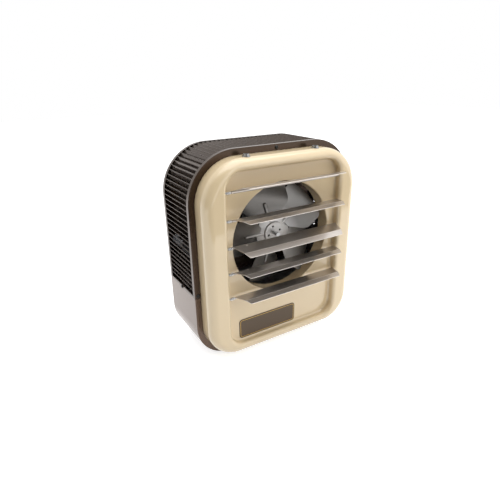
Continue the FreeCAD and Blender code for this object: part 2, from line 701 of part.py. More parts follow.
def fan_hub():
    start = FRONT_Y + DISH_FRONT + DISH_SHEET
    bore = SHAFT_RADIUS + SHAFT_FIT
    end = start + HUB_LENGTH
    hub = turned([(bore, start), (HUB_RADIUS, start), (HUB_RADIUS, end), (bore, end)])
    return hub.cut(set_screw(SHAFT_FIT))


def set_screw(clearance=0.0):
    y = FRONT_Y + DISH_FRONT + DISH_SHEET + HUB_SCREW_SETBACK
    low = FAN_CENTRE + V(0, y, SHAFT_RADIUS + SHAFT_FIT)
    return rod(low, low + Z_AXIS * (HUB_RADIUS - SHAFT_RADIUS), SET_SCREW_RADIUS + clearance)


def motor_shaft():
    start = FRONT_Y + DISH_FRONT - SHAFT_OVERHANG
    end = MOTOR_END_Y - 1
    shaft = rod(FAN_CENTRE + V(0, start, 0), FAN_CENTRE + V(0, end, 0), SHAFT_RADIUS)
    flat_low = V(-2 * SHAFT_RADIUS, start - 1, FAN_Z + SHAFT_RADIUS - SHAFT_FLAT)
    flat = Part.makeBox(4 * SHAFT_RADIUS, SHAFT_OVERHANG, 2 * SHAFT_RADIUS, flat_low)
    return shaft.cut(flat)


# Motor
def motor_shell():
    start = MOTOR_Y + BELL_DEPTH
    end = MOTOR_END_Y - BELL_DEPTH
    inner = MOTOR_RADIUS - MOTOR_SHEET
    return turned([(inner, start), (MOTOR_RADIUS, start), (MOTOR_RADIUS, end), (inner, end)])


def motor_bell(face_y, inward):
    """Dished end bell with a bearing seat; inward is the Y direction from its face into the motor."""
    seat = BEARING_RADIUS + STATOR_FIT
    sheet = MOTOR_SHEET
    points = [
        (SHAFT_RADIUS + 1, 0),
        (BELL_BOSS_RADIUS, 0),
        (BELL_BOSS_RADIUS + 2, BELL_BOSS_DEPTH),
        (MOTOR_RADIUS - BELL_CORNER, BELL_BOSS_DEPTH),
        (MOTOR_RADIUS, BELL_BOSS_DEPTH + BELL_CORNER_DEPTH),
        (MOTOR_RADIUS, BELL_DEPTH),
        (MOTOR_RADIUS - sheet, BELL_DEPTH),
        (MOTOR_RADIUS - sheet - BELL_CORNER_DEPTH, BELL_BOSS_DEPTH + sheet),
        (seat + sheet, BELL_BOSS_DEPTH + sheet),
        (seat + sheet, sheet + BEARING_LENGTH),
        (seat, sheet + BEARING_LENGTH),
        (seat, sheet),
        (SHAFT_RADIUS + 1, sheet),
    ]
    return turned([(radius, face_y + inward * along) for radius, along in points])


def motor_bearing(face_y, inward):
    near = face_y + inward * MOTOR_SHEET
    far = near + inward * BEARING_LENGTH
    bore = SHAFT_RADIUS + SHAFT_FIT
    return turned([(bore, near), (BEARING_RADIUS, near), (BEARING_RADIUS, far), (bore, far)])


def motor_core(inner, outer):
    middle = (MOTOR_Y + MOTOR_END_Y) / 2
    start = middle - ROTOR_LENGTH / 2
    end = middle + ROTOR_LENGTH / 2
    return turned([(inner, start), (outer, start), (outer, end), (inner, end)])


POST_PLACES = [
    FAN_CENTRE + V(math.cos(angle), 0, math.sin(angle)) * POST_CIRCLE_RADIUS
    for angle in [math.pi / 4 + 2 * math.pi * post / POST_COUNT for post in range(POST_COUNT)]
]


def motor_bracket():
    """Ring round the motor shell, with an ear at each post."""
    start = V(0, BRACKET_Y, 0)
    depth = Y_AXIS * BRACKET_SHEET
    ring = rod(FAN_CENTRE + start, FAN_CENTRE + start + depth, MOTOR_RADIUS + BRACKET_EAR_RADIUS)
    ears = [rod(place + start, place + start + depth, BRACKET_EAR_RADIUS) for place in POST_PLACES]
    bracket = fused([ring] + ears)
    centre = FAN_CENTRE + start
    bracket = bracket.cut(rod(centre - depth, centre + depth * 2, MOTOR_RADIUS + BRACKET_FIT))
    for place in POST_PLACES:
        bracket = bracket.cut(rod(place + start - depth, place + start + depth * 2, SCREW_HOLE_RADIUS))
    return bracket


def motor_post(place):
    """Post from the back panel to the bracket's ear, with its screw head in front of the ear."""
    rear = place + V(0, BACK_PANEL_Y, 0)
    seat = place + V(0, BRACKET_Y + BRACKET_SHEET, 0)
    front = place + V(0, BRACKET_Y, 0)
    post = rod(seat, rear, POST_RADIUS).fuse(rod(front, seat, SCREW_SHANK_RADIUS))
    return post.fuse(rod(front - Y_AXIS * POST_HEAD_HEIGHT, front, POST_HEAD_RADIUS))


# Heating elements
ELEMENT_LINE = grown(CASE, -CASE_SHEET - ELEMENT_INSET)
ELEMENT_BOTTOM = SHELF_TOP - SHELF_SHEET - ELEMENT_TAIL


def element_path(y):
    half, _, high, _, radius = ELEMENT_LINE
    bend = radius * math.sqrt(0.5)
    edges = [Part.makeLine(V(-half, y, ELEMENT_BOTTOM), V(-half, y, high - radius))]
    left = V(radius - half, y, high - radius)
    right = V(half - radius, y, high - radius)
    left_bend = [left - X_AXIS * radius, left + V(-bend, 0, bend), left + Z_AXIS * radius]
    edges.append(Part.Arc(*left_bend).toShape())
    edges.append(Part.makeLine(left + Z_AXIS * radius, right + Z_AXIS * radius))
    right_bend = [right + Z_AXIS * radius, right + V(bend, 0, bend), right + X_AXIS * radius]
    edges.append(Part.Arc(*right_bend).toShape())
    edges.append(Part.makeLine(right + X_AXIS * radius, V(half, y, ELEMENT_BOTTOM)))
    return Part.Wire(edges)


def fin_places(low, high):
    """Evenly spaced places between two ends, clear of the bracket at the middle."""
    middle = (low + high) / 2
    room = high - low - 2 * FIN_END_MARGIN
    count = int(room // FIN_PITCH)
    start = middle - (count - 1) * FIN_PITCH / 2
    places = [start + index * FIN_PITCH for index in range(count)]
    return [place for place in places if abs(place - middle) > FIN_PITCH / 2]


def heating_element(y):
    """Tube bent to an inverted U, with square fins on its straight stretches."""
    half, _, high, _, radius = ELEMENT_LINE
    circle = Part.Wire(Part.makeCircle(ELEMENT_RADIUS, V(-half, y, ELEMENT_BOTTOM), Z_AXIS))
    tube = element_path(y).makePipeShell([circle], True, False)
    size = FIN_SIZE / 2
    thick = FIN_THICKNESS / 2
    fins = []
    for z in fin_places(SHELF_TOP, high - radius):
        for x in (-half, half):
            fins.append(box_between(V(x - size, y - size, z - thick), V(x + size, y + size, z + thick)))
    for x in fin_places(radius - half, half - radius):
        fins.append(box_between(V(x - thick, y - size, high - size), V(x + thick, y + size, high + size)))
    return fused([tube] + fins)


def element_bracket(side):
    """Plate across the three tubes with a foot on the back panel; side 0 is the top one."""
    half, _, high, _, radius = ELEMENT_LINE
    front = ELEMENT_DEPTHS[0] - ELEMENT_BRACKET_WIDTH / 2
    wide = ELEMENT_BRACKET_WIDTH / 2
    sheet = ELEMENT_BRACKET_SHEET
    centre = V(side * half, 0, (SHELF_TOP + high - radius) / 2) if side else V(0, 0, high)
    normal = Z_AXIS if side else X_AXIS
    across = X_AXIS if side else Z_AXIS
    corner = centre - across * wide - normal * (sheet / 2) + Y_AXIS * front
    depth = Y_AXIS * (BACK_PANEL_Y - front)
    width = across * 2 * wide
    plate = prism([corner, corner + width, corner + width + depth, corner + depth], normal * sheet)
    foot = corner + Y_AXIS * (BACK_PANEL_Y - front - sheet)
    sole = [foot, foot + width, foot + width + Y_AXIS * sheet, foot + Y_AXIS * sheet]
    bracket = plate.fuse(prism(sole, normal * ELEMENT_BRACKET_FOOT)).removeSplitter()
    for y in ELEMENT_DEPTHS:
        hole = centre + Y_AXIS * y
        reach = normal * 2 * sheet
        bracket = bracket.cut(rod(hole - reach, hole + reach, ELEMENT_RADIUS + ELEMENT_FIT))
    return bracket


def element_terminals():
    half = ELEMENT_LINE[0]
    pins = []
    for y in ELEMENT_DEPTHS:
        for x in (-half, half):
            top = V(x, y, ELEMENT_BOTTOM)
            pin = rod(top, top - Z_AXIS * TERMINAL_LENGTH, TERMINAL_RADIUS)
            corners = [
                top + V(math.cos(turn), math.sin(turn), 0) * TERMINAL_NUT_RADIUS
                for turn in [math.pi / 3 * corner for corner in range(6)]
            ]
            nut = prism(corners, V(0, 0, -TERMINAL_NUT_HEIGHT)).translated(V(0, 0, -TERMINAL_LENGTH / 2))
            pins.append(pin.fuse(nut))
    return pins


# Wiring shelf and controls
def wiring_shelf():
    half = CASE_WIDTH / 2 - CASE_SHEET
    low = V(-half, FRONT_Y + SHELF_SETBACK, SHELF_TOP - SHELF_SHEET)
    high = V(half, BACK_PANEL_Y, SHELF_TOP)
    shelf = box_between(low, high)
    flanges = []
    for x in (-half, half - SHELF_SHEET):
        flange_low = V(x, low.y, SHELF_TOP - SHELF_FLANGE)
        flanges.append(box_between(flange_low, V(x + SHELF_SHEET, high.y, SHELF_TOP)))
    shelf = fused([shelf] + flanges)
    for y in ELEMENT_DEPTHS:
        for x in (-ELEMENT_LINE[0], ELEMENT_LINE[0]):
            base = V(x, y, SHELF_TOP - 2 * SHELF_SHEET)
            shelf = shelf.cut(rod(base, base + Z_AXIS * 3 * SHELF_SHEET, ELEMENT_RADIUS + ELEMENT_FIT))
    return shelf


def control_corner(column, size):
    """Low corner of a control that hangs under the shelf at the back panel, in one of three columns."""
    low = SHELF_TOP - SHELF_SHEET - size[2]
    return V(column * CONTROL_SPACING - size[0] / 2, BACK_PANEL_Y - size[1], low)


def contactor():
    wide, deep, tall = CONTACTOR_SIZE
    low = control_corner(-1, CONTACTOR_SIZE)
    step = deep * 0.35
    base = box_between(low + V(0, step, 0), low + V(wide, deep, tall))
    nose = box_between(low + V(wide * 0.2, 0, tall * 0.25), low + V(wide * 0.8, deep, tall * 0.75))
    body = base.fuse(nose).removeSplitter()
    for level in (0.05, 0.85):
        for well in range(3):
            x = wide * (0.12 + 0.28 * well)
            start = low + V(x, step - 1, tall * level)
            body = body.cut(box_between(start, start + V(wide * 0.2, deep * 0.2, tall * 0.1)))
    return body


def control_transformer():
    wide, deep, tall = TRANSFORMER_SIZE
    low = control_corner(0, TRANSFORMER_SIZE)
    core = box_between(low + V(0, deep * 0.3, 0), low + V(wide, deep, tall))
    coil = box_between(low + V(wide * 0.2, 0, tall * 0.18), low + V(wide * 0.8, deep, tall * 0.82))
    return core.fuse(coil).removeSplitter()


def terminal_block():
    wide, deep, tall = BLOCK_SIZE
    low = control_corner(1, BLOCK_SIZE)
    body = box_between(low, low + V(wide, deep, tall))
    bays = 4
    wall = wide * 0.06
    bay = (wide - wall) / bays
    for index in range(bays):
        for level in (0.08, 0.56):
            start = low + V(wall + index * bay, -1, tall * level)
            body = body.cut(box_between(start, start + V(bay - wall, deep * 0.5, tall * 0.36)))
    return body


def thermal_cutout():
    base = V(ELEMENT_LINE[0] - 3 * CUTOUT_RADIUS, ELEMENT_DEPTHS[1], SHELF_TOP)
    can = rod(base, base + Z_AXIS * CUTOUT_HEIGHT, CUTOUT_RADIUS)
    cap = rod(base + Z_AXIS * CUTOUT_HEIGHT, base + Z_AXIS * (CUTOUT_HEIGHT + 2), CUTOUT_RADIUS - 2)
    return can.fuse(cap)


# Fasteners
FLANGE_SCREW_PLACES = [
    V(0, FRONT_Y, PANEL[2] + FLANGE_SCREW_OFFSET),
    V(0, FRONT_Y, PANEL[1] - FLANGE_SCREW_OFFSET),
    V(-PANEL[0] - FLANGE_SCREW_OFFSET, FRONT_Y, SEAM_HEIGHT + SEAM_SCREW_OFFSET),
    V(PANEL[0] + FLANGE_SCREW_OFFSET, FRONT_Y, SEAM_HEIGHT + SEAM_SCREW_OFFSET),
]
COVER_SCREW_PLACES = [V(side * CASE_WIDTH / 2, 0, SEAM_HEIGHT + COVER_SCREW_RISE) for side in (-1, 1)]
BACK_SCREW_OFFSET = CASE_SHEET + BACK_FLANGE / 2
BACK_SCREW_PLACES = [
    V(0, BACK_Y, CASE_HEIGHT - BACK_SCREW_OFFSET),
    V(0, BACK_Y, BACK_SCREW_OFFSET),
    V(BACK_SCREW_OFFSET - CASE_WIDTH / 2, BACK_Y, FAN_Z),
    V(CASE_WIDTH / 2 - BACK_SCREW_OFFSET, BACK_Y, FAN_Z),
]


def drilled(shape, places, direction):
    """Clearance holes for screws that enter along one direction."""
    for place in places:
        start = place - direction
        shape = shape.cut(rod(start, start + direction * (SCREW_LENGTH + 2), SCREW_HOLE_RADIUS))
    return shape


def drilled_casing(shape):
    shape = drilled(shape, FLANGE_SCREW_PLACES, Y_AXIS)
    shape = drilled(shape, BACK_SCREW_PLACES, -Y_AXIS)
    for place in COVER_SCREW_PLACES:
        shape = drilled(shape, [place], X_AXIS if place.x < 0 else -X_AXIS)
    return shape


def all_nodes():
    shell = casing_shell()
    nodes = {
        "grille_wrap": [drilled_casing(grille_wrap(shell))],
        "lower_cover": [drilled_casing(lower_cover(shell))],
        "back_panel": [drilled(back_panel(), BACK_SCREW_PLACES, -Y_AXIS)],
        "front_panel": [front_panel()],
        "nameplate": [nameplate()],
        "hanger_nuts": [hanger_nut(place) for place in NUT_PLACES],
        "louver_springs": louver_springs(),
        "fan_wheel": [fan_wheel()],
        "fan_hub": [fan_hub()],
        "hub_set_screw": [set_screw()],
        "motor_shaft": [motor_shaft()],
        "motor_rotor": [motor_core(SHAFT_RADIUS + SHAFT_FIT, ROTOR_RADIUS)],
        "motor_stator": [motor_core(ROTOR_RADIUS + ROTOR_GAP, MOTOR_RADIUS - MOTOR_SHEET - STATOR_FIT)],
        "motor_shell": [motor_shell()],
        "motor_front_bell": [motor_bell(MOTOR_Y, 1)],
        "motor_rear_bell": [motor_bell(MOTOR_END_Y, -1)],
        "motor_bearing_front": [motor_bearing(MOTOR_Y, 1)],
        "motor_bearing_rear": [motor_bearing(MOTOR_END_Y, -1)],
        "motor_bracket": [motor_bracket()],
        "motor_posts": [motor_post(place) for place in POST_PLACES],
        "element_bracket_left": [element_bracket(-1)],
        "element_bracket_right": [element_bracket(1)],
        "element_bracket_top": [element_bracket(0)],
        "element_terminals": element_terminals(),
        "wiring_shelf": [wiring_shelf()],
        "contactor": [contactor()],
        "control_transformer": [control_transformer()],
        "terminal_block": [terminal_block()],
        "thermal_cutout": [thermal_cutout()],
        "flange_screws": [screw(place, Y_AXIS) for place in FLANGE_SCREW_PLACES],
        "cover_screws": [screw(place, X_AXIS if place.x < 0 else -X_AXIS) for place in COVER_SCREW_PLACES],
        "back_screws": [screw(place, -Y_AXIS) for place in BACK_SCREW_PLACES],
    }
    for name, y in zip(("front", "middle", "rear"), ELEMENT_DEPTHS):
        nodes["heating_element_" + name] = [heating_element(y)]
    for row, (height, tilt) in enumerate(zip(PIVOT_HEIGHTS, LOUVER_TILTS), start=1):
        nodes["louver_blade_%d" % row] = [louver_blade(height, tilt)]
        nodes["louver_rod_%d" % row] = [louver_rod(height)]
    return nodes


os.makedirs("parts", exist_ok=True)
for node, solids in all_nodes().items():
    shape = solids[0] if len(solids) == 1 else Part.makeCompound(solids)
    shape.exportStep("parts/%s.step" % node)
    print(node, len(shape.Solids), shape.isValid(), round(shape.Volume, 1))
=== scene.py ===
"""Looks of the unit heater: paint, metal, slat and louver edges, fine fins, floor, light and camera."""
import json
import math

import bmesh
import bpy
from mathutils import Euler, Matrix, Vector


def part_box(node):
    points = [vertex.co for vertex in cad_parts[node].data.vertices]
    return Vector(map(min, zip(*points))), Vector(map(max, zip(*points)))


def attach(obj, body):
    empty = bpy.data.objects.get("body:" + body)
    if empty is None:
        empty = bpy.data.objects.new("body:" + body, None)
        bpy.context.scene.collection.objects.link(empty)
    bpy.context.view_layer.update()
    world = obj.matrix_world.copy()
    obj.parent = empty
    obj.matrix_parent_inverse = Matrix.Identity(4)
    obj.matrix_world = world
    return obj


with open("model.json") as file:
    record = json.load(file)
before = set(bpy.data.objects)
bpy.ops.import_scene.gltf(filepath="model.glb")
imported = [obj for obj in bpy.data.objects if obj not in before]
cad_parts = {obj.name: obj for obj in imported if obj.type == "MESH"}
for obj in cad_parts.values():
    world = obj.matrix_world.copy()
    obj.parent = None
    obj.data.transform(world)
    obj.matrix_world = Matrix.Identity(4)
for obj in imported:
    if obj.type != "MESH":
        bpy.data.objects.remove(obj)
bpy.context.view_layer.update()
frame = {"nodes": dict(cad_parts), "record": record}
scene = bpy.context.scene
MM = 0.001

# Sizes of the solids that the added pieces follow, in millimetres
CASE_HALF, CASE_TOP, CASE_RADIUS, CASE_FRONT = 181.0, 406.4, 93.5, -60.325
SEAM, BACK_RIM, FAN_Z = 137.5, 8.0, 233.0
LOUVER_TILTS, LOUVER_PITCH, LOUVER_RISE, PIVOT_Y = (-21.0, -6.5, 8.5, -8.0, -7.0), 50.8, 4.5, -91.825
PLATE_CORNER, SCREW_HEAD = 6.5, 2.3
AXIS_X, AXIS_Y, AXIS_Z = Vector((1, 0, 0)), Vector((0, 1, 0)), Vector((0, 0, 1))


# Materials
SHEEN_ROUGH, SHEEN_TINT = 0.35, (1.0, 0.87, 0.81)
CLOUD_ENDS = (0.35, 0.65)


def material(name, colour, rough, metallic=0.0, specular=0.5, coat=0.0, coat_rough=0.1, coat_ior=1.5,
             tint=(1.0, 1.0, 1.0), sheen=0.0):
    """Principled material with its even values on the shader's own sockets."""
    mat = bpy.data.materials.new(name)
    mat.use_nodes = True
    shader = mat.node_tree.nodes["Principled BSDF"]
    shader.inputs["Base Color"].default_value = (*colour, 1.0)
    shader.inputs["Roughness"].default_value = rough
    shader.inputs["Metallic"].default_value = metallic
    shader.inputs["Specular IOR Level"].default_value = specular
    shader.inputs["Specular Tint"].default_value = (*tint, 1.0)
    shader.inputs["Sheen Weight"].default_value = sheen
    shader.inputs["Sheen Roughness"].default_value = SHEEN_ROUGH
    shader.inputs["Sheen Tint"].default_value = (*SHEEN_TINT, 1.0)
    shader.inputs["Coat Weight"].default_value = coat
    shader.inputs["Coat Roughness"].default_value = coat_rough
    shader.inputs["Coat IOR"].default_value = coat_ior
    return mat


def noise(mat, scale, stretch=(1.0, 1.0, 1.0), detail=4.0):
    """Noise over the object's own coordinates, stretched along an axis for a grain."""
    tree = mat.node_tree
    where = tree.nodes.new("ShaderNodeTexCoord")
    mapping = tree.nodes.new("ShaderNodeMapping")
    mapping.inputs["Scale"].default_value = stretch
    cloud = tree.nodes.new("ShaderNodeTexNoise")
    cloud.inputs["Scale"].default_value = scale
    cloud.inputs["Detail"].default_value = detail
    tree.links.new(where.outputs["Object"], mapping.inputs["Vector"])
    tree.links.new(mapping.outputs["Vector"], cloud.inputs["Vector"])
    return cloud


def bumped(mat, scale, depth, strength=0.3, stretch=(1.0, 1.0, 1.0)):
    """Fine surface unevenness, depth in metres."""
    tree = mat.node_tree
    bump = tree.nodes.new("ShaderNodeBump")
    bump.inputs["Strength"].default_value = strength
    bump.inputs["Distance"].default_value = depth
    tree.links.new(noise(mat, scale, stretch).outputs["Fac"], bump.inputs["Height"])
    tree.links.new(bump.outputs["Normal"], tree.nodes["Principled BSDF"].inputs["Normal"])
    return mat


def clouded(mat, low, high, scale, stretch=(1.0, 1.0, 1.0)):
    """Colour that drifts between two tones."""
    tree = mat.node_tree
    ramp = tree.nodes.new("ShaderNodeValToRGB")
    for element, place, tone in zip(ramp.color_ramp.elements, CLOUD_ENDS, (low, high)):
        element.position = place
        element.color = (*tone, 1.0)
    tree.links.new(noise(mat, scale, stretch).outputs["Fac"], ramp.inputs["Fac"])
    tree.links.new(ramp.outputs["Color"], tree.nodes["Principled BSDF"].inputs["Base Color"])
    return mat


def shaded_rough(mat, low, high, scale, stretch=(1.0, 1.0, 1.0)):
    """Roughness that drifts between two values."""
    tree = mat.node_tree
    span = tree.nodes.new("ShaderNodeMapRange")
    span.inputs["To Min"].default_value = low
    span.inputs["To Max"].default_value = high
    tree.links.new(noise(mat, scale, stretch).outputs["Fac"], span.inputs["Value"])
    tree.links.new(span.outputs["Result"], tree.nodes["Principled BSDF"].inputs["Roughness"])
    return mat


def painted_highlight_from_axis(mat, axis, near, far, reach):
    """Painted highlight: colour that goes from a bright centre to a dull rim, by distance from an axis
    along Y.
    """
    tree = mat.node_tree
    where = tree.nodes.new("ShaderNodeTexCoord")
    flat = tree.nodes.new("ShaderNodeVectorMath")
    flat.operation = "MULTIPLY"
    flat.inputs[1].default_value = (1.0, 0.0, 1.0)
    distance = tree.nodes.new("ShaderNodeVectorMath")
    distance.operation = "DISTANCE"
    distance.inputs[1].default_value = axis
    span = tree.nodes.new("ShaderNodeMapRange")
    span.inputs["From Min"].default_value, span.inputs["From Max"].default_value = reach
    ramp = tree.nodes.new("ShaderNodeValToRGB")
    ramp.color_ramp.elements[0].color = (*near, 1.0)
    ramp.color_ramp.elements[1].color = (*far, 1.0)
    tree.links.new(where.outputs["Object"], flat.inputs[0])
    tree.links.new(flat.outputs["Vector"], distance.inputs[0])
    tree.links.new(distance.outputs["Value"], span.inputs["Value"])
    tree.links.new(span.outputs["Result"], ramp.inputs["Fac"])
    tree.links.new(ramp.outputs["Color"], tree.nodes["Principled BSDF"].inputs["Base Color"])
    return mat


fan_low, fan_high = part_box("fan_hub")
fan_middle = frame["nodes"]["fan_wheel"].matrix_world.inverted() @ ((fan_low + fan_high) / 2)
FAN_AXIS = (fan_middle.x, 0.0, fan_middle.z)

PAINT_TINT = (1.0, 0.70, 0.54)
ROLLED_GRAIN = (0.01, 1.0, 1.0)

LOOKS = {
    "casing_paint": bumped(
        material("casing_paint", (0.022, 0.014, 0.008), 0.20, specular=0.55, tint=PAINT_TINT, sheen=0.25),
        260, 0.0002, 0.08),
    "panel_paint": bumped(
        material("panel_paint", (0.720, 0.570, 0.355), 0.4, specular=0.2,
                 coat=1.0, coat_rough=0.06, coat_ior=1.6),
        300, 0.0002, 0.06),
    "plate": bumped(material("plate", (0.105, 0.073, 0.046), 0.45, specular=0.3), 500, 0.0001, 0.1),
    "zinc": clouded(
        material("zinc", (0.45, 0.45, 0.46), 0.34, metallic=1.0),
        (0.38, 0.38, 0.39), (0.52, 0.52, 0.52), 180),
    "louver_metal": shaded_rough(
        material("louver_metal", (0.51, 0.466, 0.425), 0.28, metallic=0.86), 0.25, 0.34, 60, ROLLED_GRAIN),
    "rod_steel": material("rod_steel", (0.50, 0.50, 0.50), 0.36, metallic=1.0),
    "spring_steel": material("spring_steel", (0.66, 0.67, 0.69), 0.22, metallic=1.0),
    # Fan colour: the brighter centre over the hub is a painted reflection, the light the hub catches put
    # into its colour.
    "fan_aluminium": painted_highlight_from_axis(
        shaded_rough(material("fan_aluminium", (0.225, 0.215, 0.203), 0.4, metallic=1.0), 0.34, 0.46, 40),
        FAN_AXIS, (0.43, 0.415, 0.40), (0.215, 0.205, 0.193), (0.026, 0.056)),
    "galvanised": clouded(
        material("galvanised", (0.55, 0.56, 0.57), 0.36, metallic=1.0),
        (0.46, 0.47, 0.48), (0.62, 0.63, 0.64), 70),
    "motor_paint": bumped(material("motor_paint", (0.012, 0.012, 0.012), 0.42), 300, 0.0002, 0.15),
    "bearing_bronze": material("bearing_bronze", (0.48, 0.32, 0.14), 0.4, metallic=1.0),
    "core_steel": material("core_steel", (0.25, 0.25, 0.26), 0.45, metallic=1.0),
    "element_sheath": clouded(
        material("element_sheath", (0.030, 0.021, 0.015), 0.6, specular=0.3),
        (0.022, 0.015, 0.010), (0.045, 0.030, 0.020), 50),
    "control_plastic": bumped(material("control_plastic", (0.012, 0.012, 0.012), 0.5), 600, 0.0001, 0.15),
    "dark_screw": material("dark_screw", (0.016, 0.014, 0.012), 0.32, metallic=0.6),
}
# Lower cover: the casing paint made lighter and more reflective, a lit copy of the one paint that stands in
# for the light its side catches.
COVER_PAINT_LIT = bumped(
    material("cover_paint_lit_copy", (0.030, 0.019, 0.011), 0.17, specular=1.0, tint=PAINT_TINT, sheen=0.5),
    260, 0.0002, 0.08)
GILT = material("gilt_line", (0.60, 0.38, 0.10), 0.34, metallic=0.4)
# Near-black for the screw slots: painted shade of the slot hollows.
SLOT_SHADE = material("screw_recess", (0.006, 0.005, 0.005), 0.6)
# Paler metal for the louver edge tubes: a painted highlight along the crease and front edge lines.
EDGE_HIGHLIGHT = material("edge_painted_highlight", (0.78, 0.73, 0.68), 0.3, metallic=1.0)
# Near-black thread metal: painted shade inside the nut bores.
THREAD_SHADE = material("thread_steel_painted_shade", (0.06, 0.06, 0.06), 0.45, metallic=1.0)

node_slot = {item["node"]: item["material_slot"] for item in frame["record"]["subparts"]}
for node, obj in frame["nodes"].items():
    obj.data.materials.clear()
    obj.data.materials.append(COVER_PAINT_LIT if node == "lower_cover" else LOOKS[node_slot[node]])


# Added pieces
def piece(name, mesh_data, mat, body):
    obj = bpy.data.objects.new(name, mesh_data)
    scene.collection.objects.link(obj)
    mesh_data.materials.append(mat)
    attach(obj, body)
    return obj


def mesh_from(name, build):
    bm = bmesh.new()
    build(bm)
    mesh_data = bpy.data.meshes.new(name)
    bm.to_mesh(mesh_data)
    bm.free()
    return mesh_data


def rounded_loop(low, high, radius, steps=6):
    """Points of an upright rounded rectangle in X and Z."""
    points = []
    for cx, cz, start in (
        (high[0] - radius, high[1] - radius, 0),
        (low[0] + radius, high[1] - radius, 90),
        (low[0] + radius, low[1] + radius, 180),
        (high[0] - radius, low[1] + radius, 270),
    ):
        for step in range(steps + 1):
            angle = math.radians(start + 90 * step / steps)
            points.append((cx + radius * math.cos(angle), cz + radius * math.sin(angle)))
    return points


def plate_border():
    """Thin gilt line set in from the nameplate's edge."""
    low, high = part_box("nameplate")
    inset, width, lift = 2.2 * MM, 0.9 * MM, 0.12 * MM
    y = low.y - lift

    def build(bm):
        rings = []
        for margin in (inset, inset + width):
            loop = rounded_loop(
                (low.x + margin, low.z + margin), (high.x - margin, high.z - margin),
                PLATE_CORNER * MM - margin)
            rings.append([bm.verts.new((x, y, z)) for x, z in loop])
        backs = [[bm.verts.new((v.co.x, low.y, v.co.z)) for v in ring] for ring in rings]
        count = len(rings[0])
        for i in range(count):
            j = (i + 1) % count
            bm.faces.new((rings[0][j], rings[0][i], rings[1][i], rings[1][j]))
            bm.faces.new((rings[0][i], rings[0][j], backs[0][j], backs[0][i]))
            bm.faces.new((rings[1][j], rings[1][i], backs[1][i], backs[1][j]))

    piece("nameplate_border", mesh_from("nameplate_border", build), GILT, "casing")


def wrap_point(along):
    """Point on the casing's outline and its tangent in X and Z, a distance up from the left seam."""
    half, top, radius, seam = CASE_HALF, CASE_TOP, CASE_RADIUS, SEAM
    upright = top - radius - seam
    quarter = radius * math.pi / 2
    if along < upright:
        return (-half, seam + along), (0.0, 1.0)
    along -= upright
    if along < quarter:
        angle = math.pi - along / radius
        centre = radius - half
    elif along < quarter + 2 * (half - radius):
        return (radius - half + along - quarter, top), (1.0, 0.0)
    else:
        along -= quarter + 2 * (half - radius)
        if along > quarter:
            return (half, top - radius - (along - quarter)), (0.0, -1.0)
        angle = math.pi / 2 - along / radius
        centre = half - radius
    x, z = math.cos(angle), math.sin(angle)
    return (centre + radius * x, top - radius + radius * z), (z, -x)


def add_tube(bm, start, end, across, radius, sides=8):
    """Open tube between two points, round in the two directions across it, in millimetres."""
    rings = []
    for spot in (Vector(start), Vector(end)):
        turns = [2 * math.pi * k / sides for k in range(sides)]
        rings.append([
            bm.verts.new((spot + radius * (across[0] * math.cos(turn) + across[1] * math.sin(turn))) * MM)
            for turn in turns
        ])
    for k in range(sides):
        n = (k + 1) % sides
        bm.faces.new((rings[0][k], rings[0][n], rings[1][n], rings[1][k])).smooth = True


def slat_edges():
    """Rolled paint edge along the outer rim of every slat."""
    strip, width, pitch, round_edge = 5.0, 9.0, 9.6, 0.62
    front, back = CASE_FRONT + BACK_RIM, -CASE_FRONT - BACK_RIM
    length = 2 * (CASE_TOP - CASE_RADIUS - SEAM) + math.pi * CASE_RADIUS + 2 * (CASE_HALF - CASE_RADIUS)
    room = length - 2 * strip - width
    count = int(room // pitch)
    first = strip + width + (room - (count - 1) * pitch) / 2 - pitch / 2

    def build(bm):
        for index in range(count):
            (x, z), (tx, tz) = wrap_point(first + index * pitch)
            cx, cz = x + tz * round_edge, z - tx * round_edge
            add_tube(bm, (cx, front, cz), (cx, back, cz), (AXIS_X, AXIS_Z), round_edge)

    piece("slat_edges", mesh_from("slat_edges", build), LOOKS["casing_paint"], "casing")


def add_box(bm, centre, axes, sizes):
    """Box with its half sizes along three axes, in millimetres."""
    corners = []
    for i in (-1, 1):
        for j in (-1, 1):
            for k in (-1, 1):
                spot = Vector(centre)
                for axis, size, sign in zip(axes, sizes, (i, j, k)):
                    spot = spot + Vector(axis) * size * sign
                corners.append(bm.verts.new(spot * MM))
    for face in ((0, 1, 3, 2), (4, 6, 7, 5), (0, 4, 5, 1), (2, 3, 7, 6), (0, 2, 6, 4), (1, 5, 7, 3)):
        bm.faces.new([corners[i] for i in face])


def fine_fins():
    """Fins between the heating elements' wider spaced plates, thin as the real ones."""
    inset, first_row, row_pitch = 23.0, 40.0, 24.0
    half, top, radius = CASE_HALF - inset, CASE_TOP - inset, CASE_RADIUS - inset
    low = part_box("wiring_shelf")[1].z / MM
    size, thick, pitch, shares = 9.2, 0.2, 15.0, (1 / 3, 2 / 3)
    end_room, bracket_gap = 28.0, 14.5

    def places(start, end):
        middle = (start + end) / 2
        count = int((end - start - end_room) // pitch)
        begin = middle - (count - 1) * pitch / 2
        spots = [begin + (index + share) * pitch for index in range(count - 1) for share in shares]
        return [spot for spot in spots if abs(spot - middle) > bracket_gap]

    def build(bm):
        axes = (AXIS_X, AXIS_Y, AXIS_Z)
        for row in range(3):
            y = CASE_FRONT + first_row + row_pitch * row
            for z in places(low, top - radius):
                for x in (-half, half):
                    add_box(bm, (x, y, z), axes, (size, size, thick))
            for x in places(radius - half, half - radius):
                add_box(bm, (x, y, top), axes, (thick, size, size))
        bmesh.ops.recalc_face_normals(bm, faces=bm.faces)

    mesh = mesh_from("element_fine_fins", build)
    piece("element_fine_fins", mesh, LOOKS["element_sheath"], "casing")


